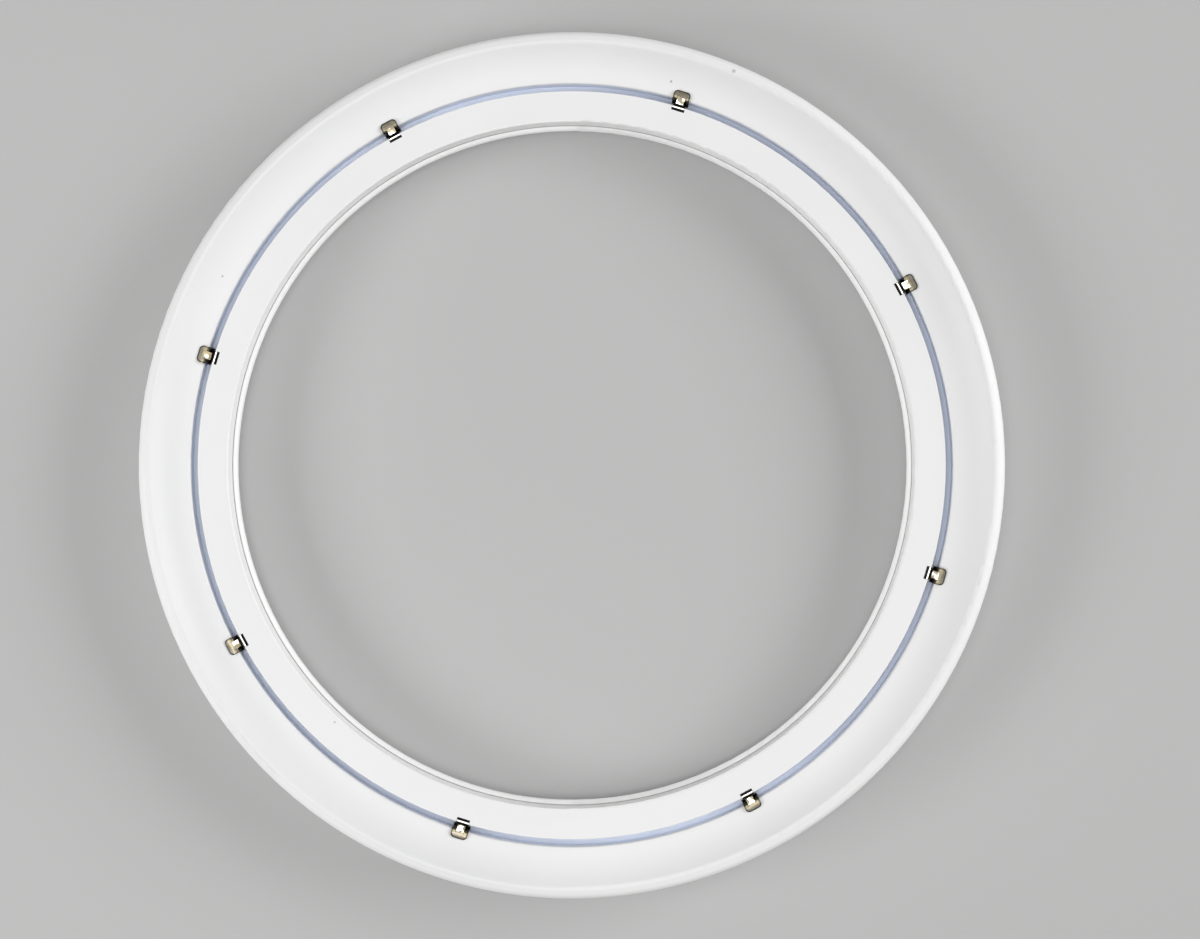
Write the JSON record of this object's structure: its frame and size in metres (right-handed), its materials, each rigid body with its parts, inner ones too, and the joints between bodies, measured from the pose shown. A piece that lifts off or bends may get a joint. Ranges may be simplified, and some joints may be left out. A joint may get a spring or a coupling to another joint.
{
  "type": "washer balance ring",
  "caption": "Hollow white moulded ring, part filled with brine, that balances a washer's spinning basket; spring clips in its groove grip the basket's rim.",
  "frame": {"origin": "on the ring's axis, at the level of the surface that it lies on", "axes": "+Z is the ring's axis, towards the basket side with the groove and the clips"},
  "size_m": [0.5089, 0.509, 0.0439],
  "materials": {
    "white_plastic": "semi-gloss white polypropylene moulding",
    "brine": "clear salt water, sealed inside",
    "spring_steel": "bright plated spring steel"
  },
  "bodies": {
    "root": {"ring_shell": "white_plastic", "groove_cover": "white_plastic", "balance_brine": "brine", "basket_clip_1": "spring_steel", "basket_clip_2": "spring_steel", "basket_clip_3": "spring_steel", "basket_clip_4": "spring_steel", "basket_clip_5": "spring_steel", "basket_clip_6": "spring_steel", "basket_clip_7": "spring_steel", "basket_clip_8": "spring_steel"}
  },
  "joints": []
}
